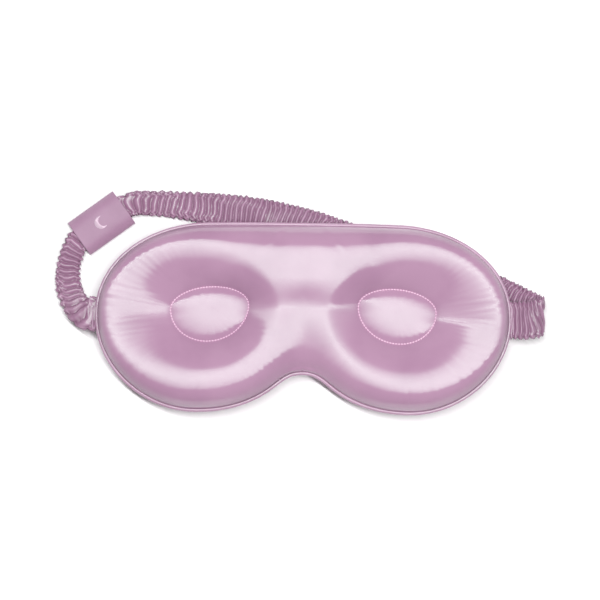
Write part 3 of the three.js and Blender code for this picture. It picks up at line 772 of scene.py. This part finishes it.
def label_sleeve(finish):
    """A flat woven sleeve, open at both ends."""
    lengthwise = np.linspace(-LABEL_LENGTH / 2.0, LABEL_LENGTH / 2.0, 56)
    angle = np.linspace(0.0, 2.0 * math.pi, 96, endpoint=False)
    outer, inner = [], []
    for along in lengthwise:
        for wall, rows in ((0.0, outer), (LABEL_WALL, inner)):
            half = LABEL_WIDTH / 2.0 - wall
            across = half * np.sign(np.cos(angle)) * np.abs(np.cos(angle)) ** 0.5
            blend = np.sign(np.sin(angle)) * np.abs(np.sin(angle)) ** 0.62
            top = label_top(along, across) - wall
            bottom = 0.12 + wall
            middle = (top.min() + bottom) / 2.0
            reach = np.where(blend >= 0, top - middle, middle - bottom)
            up = middle + reach * blend
            rows.append(np.column_stack([np.full_like(across, along), across, up]))
    rows, sides = len(lengthwise), len(angle)
    points = np.vstack(outer + inner)
    faces = grid_faces(rows, sides)
    faces += [face[::-1] for face in grid_faces(rows, sides, first=rows * sides)]
    for row, turned in ((0, True), (rows - 1, False)):
        for i in range(sides):
            j = (i + 1) % sides
            a, b = row * sides, (rows + row) * sides
            face = (a + i, a + j, b + j, b + i)
            faces.append(face[::-1] if turned else face)
    run = points[:, 0]
    girth = np.tile(np.concatenate([np.arange(sides)] * rows), 2) / sides * 2 * LABEL_WIDTH
    grain = np.column_stack([run, girth])
    obj = new_object("label_sleeve_cloth", on_label(points), faces, finish, grain)
    return welded(obj, 1e-7)


def flat_print(outline, name, finish):
    """A thin printed shape that follows the label's upper face."""
    lifted = []
    for layer in (0.0, MOON["thick"]):
        z = label_top(outline[:, 0], outline[:, 1]) + layer
        lifted.append(np.column_stack([outline, z]))
    count = len(outline)
    faces = [tuple(range(count, 2 * count)), tuple(range(count))[::-1]]
    faces += [(i, (i + 1) % count, count + (i + 1) % count, count + i) for i in range(count)]
    return new_object(name, on_label(np.vstack(lifted)), faces, finish)


def moon_outline(radius, bite, shift):
    """A crescent: a big arc out and a smaller, shifted arc back."""
    x = (radius ** 2 - bite ** 2 + shift ** 2) / (2.0 * shift)
    outer = math.acos(x / radius)
    inner = math.acos((x - shift) / bite)
    big = np.linspace(outer, 2.0 * math.pi - outer, 32)
    small = np.linspace(2.0 * math.pi - inner, inner, 24)[1:-1]
    return np.vstack([
        np.column_stack([np.cos(big), np.sin(big)]) * radius,
        np.column_stack([np.cos(small) * bite + shift, np.sin(small) * bite]),
    ])


def build_label(sleeve_finish, print_finish):
    sleeve = label_sleeve(sleeve_finish)
    outline = moon_outline(MOON["radius"], MOON["bite"], MOON["shift"])
    moon = flat_print(outline, "label_moon_print", print_finish)
    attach(sleeve, "label")
    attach(moon, "label")
    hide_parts("label_sleeve")
    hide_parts("label_moon")


# ---- Materials ----------------------------------------------------------------------------------


def node(tree, kind, place, **inputs):
    made = tree.nodes.new(kind)
    made.location = place
    for name, value in inputs.items():
        made.inputs[name.replace("_", " ")].default_value = value
    return made


def satin(name, colour, shade, roughness=0.3, anisotropy=1.0, gloss=1.0, thread=0.00032, crease=0.02,
          weave=0.02):
    """Satin: an uneven dye, fine threads and a gloss that is long across them and short along them."""
    material = bpy.data.materials.new(name)
    material.use_nodes = True
    tree = material.node_tree
    shader = tree.nodes["Principled BSDF"]
    shader.inputs["Roughness"].default_value = roughness
    shader.inputs["Anisotropic"].default_value = anisotropy
    shader.inputs["Specular IOR Level"].default_value = gloss
    shader.inputs["Specular Tint"].default_value = (0.8, 1.0, 0.87, 1.0)
    shader.inputs["Sheen Weight"].default_value = 0.1
    shader.inputs["Sheen Roughness"].default_value = 0.45
    shader.inputs["Sheen Tint"].default_value = (1.0, 0.86, 0.96, 1.0)

    place = node(tree, "ShaderNodeTexCoord", (-1100, 0))
    grain = node(tree, "ShaderNodeUVMap", (-1100, -300))
    grain.uv_map = "grain"
    tangent = node(tree, "ShaderNodeTangent", (-300, -500))
    tangent.direction_type = "UV_MAP"
    tangent.uv_map = "grain"
    tree.links.new(tangent.outputs[0], shader.inputs["Tangent"])

    dye = node(tree, "ShaderNodeTexNoise", (-800, 200), Scale=38.0, Detail=3.0)
    tree.links.new(place.outputs["Object"], dye.inputs["Vector"])
    mottle = node(tree, "ShaderNodeTexNoise", (-800, 0), Scale=420.0, Detail=2.0)
    tree.links.new(place.outputs["Object"], mottle.inputs["Vector"])
    blend = node(tree, "ShaderNodeMix", (-500, 150))
    blend.data_type = "RGBA"
    blend.inputs["A"].default_value = (*shade, 1.0)
    blend.inputs["B"].default_value = (*colour, 1.0)
    spread = node(tree, "ShaderNodeMapRange", (-650, 250))
    spread.inputs["From Min"].default_value = 0.35
    spread.inputs["From Max"].default_value = 0.6
    tree.links.new(dye.outputs["Fac"], spread.inputs["Value"])
    tree.links.new(spread.outputs["Result"], blend.inputs["Factor"])
    tree.links.new(blend.outputs["Result"], shader.inputs["Base Color"])

    bands = ONE_BAND_SCALE / thread
    weft = node(tree, "ShaderNodeTexWave", (-800, -250), Scale=bands, Distortion=0.6, Detail=1.0)
    weft.bands_direction = "X"
    weft.inputs["Detail Scale"].default_value = 2.0
    tree.links.new(grain.outputs["UV"], weft.inputs["Vector"])
    slub = node(tree, "ShaderNodeTexNoise", (-800, -500), Scale=1500.0, Detail=2.0)
    tree.links.new(grain.outputs["UV"], slub.inputs["Vector"])
    fine = node(tree, "ShaderNodeBump", (-300, -250), Strength=weave, Distance=0.00012)
    tree.links.new(weft.outputs["Fac"], fine.inputs["Height"])
    soft = node(tree, "ShaderNodeBump", (-100, -250), Strength=crease, Distance=0.0003)
    tree.links.new(mottle.outputs["Fac"], soft.inputs["Height"])
    tree.links.new(fine.outputs["Normal"], soft.inputs["Normal"])
    tree.links.new(soft.outputs["Normal"], shader.inputs["Normal"])

    uneven = node(tree, "ShaderNodeMapRange", (-500, -500))
    uneven.inputs["To Min"].default_value = roughness - 0.04
    uneven.inputs["To Max"].default_value = roughness + 0.05
    tree.links.new(slub.outputs["Fac"], uneven.inputs["Value"])
    tree.links.new(uneven.outputs["Result"], shader.inputs["Roughness"])
    return material


def with_painted_fold_shade(material, fold_shade_colour):
    """Painted shade: the base colour darkens towards the bottom of the folds, where light comes only
    from silk to silk.
    """
    tree = material.node_tree
    shader = tree.nodes["Principled BSDF"]
    dyed = shader.inputs["Base Color"].links[0].from_socket
    depth = node(tree, "ShaderNodeAttribute", (-500, 450))
    depth.attribute_name = "fold_depth"
    shade = node(tree, "ShaderNodeMix", (-250, 300))
    shade.data_type = "RGBA"
    shade.inputs["B"].default_value = (*fold_shade_colour, 1.0)
    tree.links.new(depth.outputs["Fac"], shade.inputs["Factor"])
    tree.links.new(dyed, shade.inputs["A"])
    tree.links.new(shade.outputs["Result"], shader.inputs["Base Color"])
    return material


def plain_cloth(name, colour, roughness=0.9, scale=900.0, bump=0.3):
    """Matt cloth or wadding with a fine uneven surface."""
    material = bpy.data.materials.new(name)
    material.use_nodes = True
    tree = material.node_tree
    shader = tree.nodes["Principled BSDF"]
    shader.inputs["Roughness"].default_value = roughness
    shader.inputs["Sheen Weight"].default_value = 0.4
    place = node(tree, "ShaderNodeTexCoord", (-900, 0))
    fibres = node(tree, "ShaderNodeTexNoise", (-700, 0), Scale=scale, Detail=5.0)
    tree.links.new(place.outputs["Object"], fibres.inputs["Vector"])
    tone = node(tree, "ShaderNodeMix", (-400, 100))
    tone.data_type = "RGBA"
    tone.inputs["A"].default_value = (*[c * 0.82 for c in colour], 1.0)
    tone.inputs["B"].default_value = (*colour, 1.0)
    tree.links.new(fibres.outputs["Fac"], tone.inputs["Factor"])
    tree.links.new(tone.outputs["Result"], shader.inputs["Base Color"])
    rough = node(tree, "ShaderNodeBump", (-200, -200), Strength=bump, Distance=0.0002)
    tree.links.new(fibres.outputs["Fac"], rough.inputs["Height"])
    tree.links.new(rough.outputs["Normal"], shader.inputs["Normal"])
    return material


def dress_cad_nodes():
    """Procedural materials for the CAD pieces that stay: those inside the mask and the strap's ends."""
    wadding = plain_cloth("white_wadding", (0.86, 0.83, 0.81), 0.95, 500.0, 0.6)
    blackout = plain_cloth("blackout_cloth", (0.018, 0.016, 0.02), 0.85, 1400.0, 0.3)
    cord = plain_cloth("cotton_cord", (0.8, 0.76, 0.72), 0.9, 1800.0, 0.5)
    elastic = plain_cloth("woven_elastic", (0.82, 0.75, 0.8), 0.8, 1200.0, 0.5)
    thread = plain_cloth("tack_thread", (0.36, 0.2, 0.31), 0.5, 2500.0, 0.3)
    finishes = {
        "front_ring_pad": wadding, "back_ring_pad": wadding, "eye_pad": wadding,
        "blackout_liner": blackout, "piping_cord": cord, "elastic_band": elastic, "strap_tack": thread,
    }
    for name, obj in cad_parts.items():
        for prefix, finish in finishes.items():
            if name.startswith(prefix):
                obj.material_slots[0].material = finish


# ---- Stage --------------------------------------------------------------------------------------


def floor():
    material = bpy.data.materials.new("pale_floor")
    material.use_nodes = True
    shader = material.node_tree.nodes["Principled BSDF"]
    shader.inputs["Base Color"].default_value = (0.93, 0.93, 0.93, 1.0)
    shader.inputs["Roughness"].default_value = 0.9
    shader.inputs["Specular IOR Level"].default_value = 0.1
    mesh = bpy.data.meshes.new("floor")
    reach = 3.0
    corners = [(-reach, -reach, 0), (reach, -reach, 0), (reach, reach, 0), (-reach, reach, 0)]
    mesh.from_pydata(corners, [], [(0, 1, 2, 3)])
    mesh.materials.append(material)
    obj = bpy.data.objects.new("floor", mesh)
    bpy.context.collection.objects.link(obj)


def area_light(name, place, target, size, power, colour=(1.0, 1.0, 1.0)):
    data = bpy.data.lights.new(name, "AREA")
    data.shape = "RECTANGLE"
    data.size, data.size_y = size
    data.energy = power
    data.color = colour
    obj = bpy.data.objects.new(name, data)
    obj.location = place
    aim(obj, target)
    bpy.context.collection.objects.link(obj)


def aim(obj, target, roll=0.0):
    direction = Vector(target) - obj.location
    turn = direction.to_track_quat("-Z", "Y").to_matrix().to_4x4()
    obj.rotation_euler = (turn @ Matrix.Rotation(roll, 4, "Z")).to_euler()


def light_and_camera():
    world = bpy.data.worlds.new("soft_room")
    world.use_nodes = True
    world.node_tree.nodes["Background"].inputs["Color"].default_value = (1.0, 1.0, 1.0, 1.0)
    world.node_tree.nodes["Background"].inputs["Strength"].default_value = 0.25
    bpy.context.scene.world = world
    area_light("key_softbox", (0.1, 0.14, 2.0), (0, 0, 0), (2.6, 0.2), 56.0)

    camera = bpy.data.cameras.new("camera")
    camera.lens = 186.0
    camera.sensor_width = 36.0
    camera.clip_start = 0.01
    obj = bpy.data.objects.new("camera", camera)
    elevation = math.radians(86.0)
    distance = 1.6
    target = (-0.0003, 0.0014, 0.008)
    obj.location = (
        target[0],
        target[1] - distance * math.cos(elevation),
        target[2] + distance * math.sin(elevation),
    )
    aim(obj, target, roll=math.radians(0.9))
    bpy.context.collection.objects.link(obj)
    bpy.context.scene.camera = obj
    bpy.context.scene.view_settings.view_transform = "Standard"


# ---- Assembly -----------------------------------------------------------------------------------


def build_mask():
    silk = satin("orchid_satin", (0.43, 0.245, 0.37), (0.385, 0.21, 0.33))
    lining = satin("face_satin", (0.50, 0.32, 0.44), (0.45, 0.28, 0.39), roughness=0.45)
    trim = satin("piping_satin", (0.46, 0.27, 0.40), (0.40, 0.22, 0.34), roughness=0.34, anisotropy=0.4)
    thread = satin("stitch_thread", (0.74, 0.46, 0.63), (0.66, 0.39, 0.56), roughness=0.35,
                   anisotropy=0.3)

    front = panel("front_silk", front_height, 1, silk)
    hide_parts("front_panel_left", "front_panel_right")
    back = panel("back_silk", back_height, -1, lining)
    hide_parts("back_panel_left", "back_panel_right")
    edge = piping(trim)
    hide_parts("piping_cover_left", "piping_cover_right")
    for piece in (front, back, edge):
        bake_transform(piece)

    for side, word in ((-1, "left"), (1, "right")):
        stitches = eye_stitches(side, thread)
        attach(stitches, f"{word}_half")
        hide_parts(f"eye_stitch_{word}")


def build_strap():
    casing = satin("gathered_satin", (0.42, 0.235, 0.36), (0.36, 0.19, 0.305), roughness=0.38,
                   anisotropy=0.5)
    # Painted shade in the gaps between the strap's gathered folds.
    casing = with_painted_fold_shade(casing, (0.21, 0.085, 0.165))
    label_middle = length_at(STRAP_STOPS[LABEL_STOP])
    under_mask = length_at(STRAP_STOPS[UNDER_MASK_STOP])
    start = strap_piece("strap_casing_start", 0.0, label_middle, casing)
    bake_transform(start)
    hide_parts("strap_casing_left_end", "strap_casing_loop")
    back = strap_piece("strap_casing_return", label_middle, under_mask, casing)
    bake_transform(back)
    run = strap_piece("strap_casing_run", under_mask, FRAMES[4][-1], casing)
    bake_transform(run)
    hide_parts("strap_casing_left_run", "strap_casing_right_run")


def length_at(stop):
    """Distance along the strap at which it passes a stop."""
    gap = np.linalg.norm(FRAMES[0] - stop[:3], axis=1)
    return FRAMES[4][gap.argmin()]


build_mask()
build_strap()
build_label(
    satin("label_satin", (0.40, 0.235, 0.35), (0.35, 0.20, 0.305), roughness=0.5, anisotropy=0.5,
          gloss=0.5, thread=0.0006, crease=0.15, weave=0.5),
    plain_cloth("label_print", (0.8, 0.6, 0.74), 0.6, 2500.0, 0.15),
)
dress_cad_nodes()
floor()
light_and_camera()
